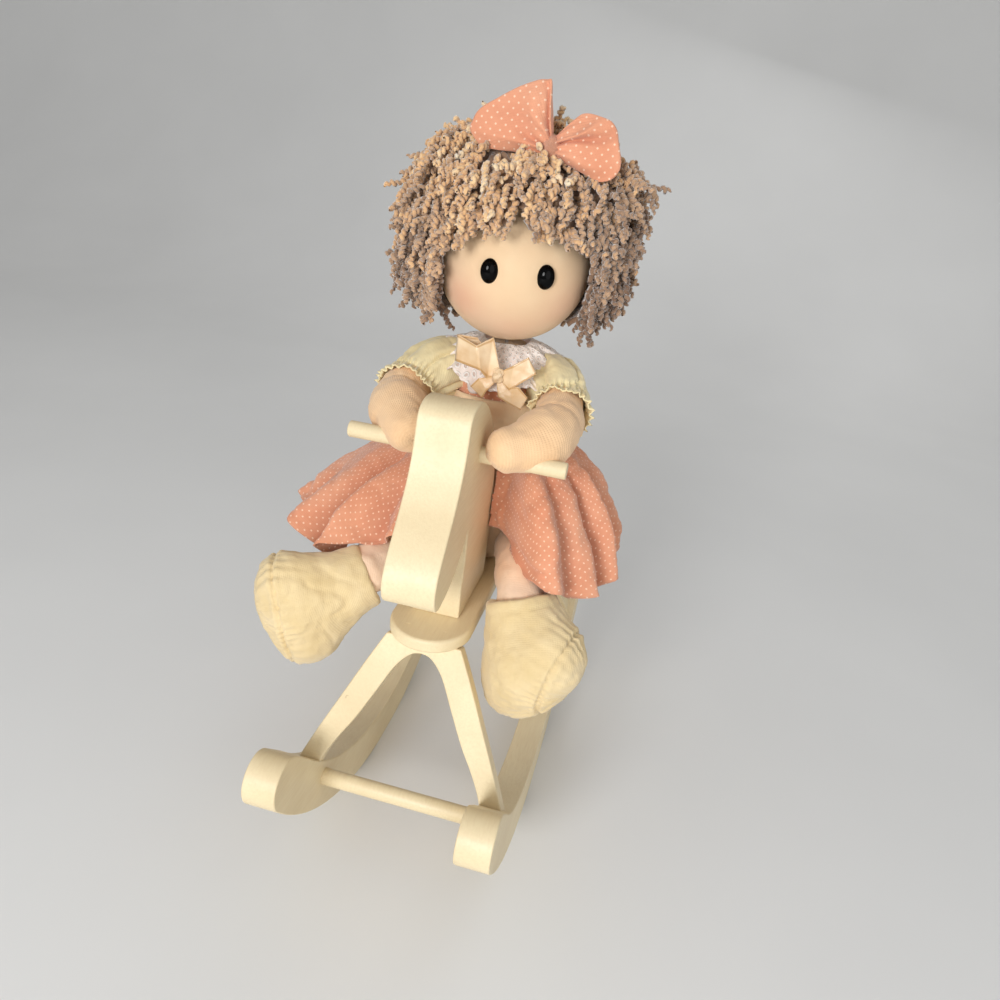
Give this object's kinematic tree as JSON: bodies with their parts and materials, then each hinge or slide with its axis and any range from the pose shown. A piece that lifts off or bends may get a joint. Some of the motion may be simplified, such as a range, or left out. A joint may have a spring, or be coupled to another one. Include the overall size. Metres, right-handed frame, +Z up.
{
  "type": "musical doll",
  "caption": "Stuffed rag doll with curly yarn hair astride a painted wooden rocking horse, with a wind-up musical movement that sways its head.",
  "frame": {"origin": "middle of the base of the whole object, on the surface that its rockers stand on", "axes": "+Z up; the horse and the doll face -Y; +X is on the right as seen from the front"},
  "size_m": [0.204, 0.3454, 0.442],
  "materials": {
    "painted_wood": "cream paint, satin",
    "bare_wood": "turned beech",
    "steel": "plated steel",
    "brass": "bare brass",
    "skin_cloth": "stockinette",
    "sock_cloth": "stockinette",
    "dress_cloth": "cotton print with small white dots",
    "muslin_cloth": "cream muslin",
    "lace_cloth": "cotton lace",
    "satin_ribbon": "satin",
    "yarn": "curled wool yarn",
    "eye_plastic": "gloss black",
    "washer_plastic": "moulded"
  },
  "bodies": {
    "root": {"seat_board": "painted_wood", "horse_head": "painted_wood", "handlebar": "painted_wood", "neck_screw_1": "steel", "neck_screw_2": "steel", "front_legs": "painted_wood", "rear_legs": "painted_wood", "front_crossbar": "painted_wood", "rear_crossbar": "painted_wood", "rocker_left": "painted_wood", "rocker_right": "painted_wood", "foot_dowel_1": "bare_wood", "foot_dowel_2": "bare_wood", "foot_dowel_3": "bare_wood", "foot_dowel_4": "bare_wood", "leg_screw_1": "steel", "leg_screw_2": "steel", "leg_screw_3": "steel", "leg_screw_4": "steel", "movement_plate": "steel", "comb_screw_1": "steel", "comb_screw_2": "steel", "comb": "steel", "movement_cover": "washer_plastic", "torso": "skin_cloth", "bodice": "dress_cloth", "waist_sash": "muslin_cloth", "arm_left": "skin_cloth", "arm_right": "skin_cloth", "sleeve_left": "muslin_cloth", "sleeve_right": "muslin_cloth", "leg_left": "sock_cloth", "leg_right": "sock_cloth", "boot_left": "muslin_cloth", "boot_right": "muslin_cloth", "skirt": "dress_cloth", "lace_collar": "lace_cloth", "collar_bow": "satin_ribbon"},
    "cylinder": {"cylinder": "brass", "cylinder_gear": "brass", "neck_wire": "steel"},
    "head": {"head": "skin_cloth", "hair": "yarn", "hair_bow": "dress_cloth", "eye_left": "eye_plastic", "eye_right": "eye_plastic", "eye_washer_left": "washer_plastic", "eye_washer_right": "washer_plastic", "head_socket": "bare_wood"},
    "barrel": {"spring_barrel": "brass", "mainspring": "steel"},
    "worm_wheel": {"worm_wheel": "brass"},
    "governor": {"governor_fan": "brass"},
    "key": {"winding_key": "steel", "winding_arbor": "steel"}
  },
  "joints": [
    {"name": "cylinder_spin", "type": "hinge", "parent": "root", "child": "cylinder", "pos_m": [0.01241, 0.0154, 0.2], "axis": [0, 0, 1], "continuous": true},
    {"name": "head_sway", "type": "hinge", "parent": "cylinder", "child": "head", "pos_m": [0.01241, 0.0154, 0.3042], "axis": [0, 0.0349, 0.9994], "continuous": true},
    {"name": "barrel_spin", "type": "hinge", "parent": "root", "child": "barrel", "pos_m": [0.01241, 0.02, 0.2583], "axis": [0, 1, 0], "continuous": true},
    {"name": "worm_wheel_spin", "type": "hinge", "parent": "root", "child": "worm_wheel", "pos_m": [0.00326, 0.0154, 0.2], "axis": [0, 0, 1], "continuous": true},
    {"name": "governor_spin", "type": "hinge", "parent": "root", "child": "governor", "pos_m": [-0.00214, 0.0154, 0.2357], "axis": [0, 1, 0], "continuous": true},
    {"name": "key_turn", "type": "hinge", "parent": "root", "child": "key", "pos_m": [0.01241, 0.02, 0.2583], "axis": [0, 1, 0], "continuous": true}
  ],
  "couplings": [
    {"joint": "cylinder_spin", "follows": "head_sway", "ratio": -1},
    {"joint": "barrel_spin", "follows": "head_sway", "ratio": -0.25},
    {"joint": "worm_wheel_spin", "follows": "head_sway", "ratio": 1},
    {"joint": "governor_spin", "follows": "head_sway", "ratio": 16}
  ]
}
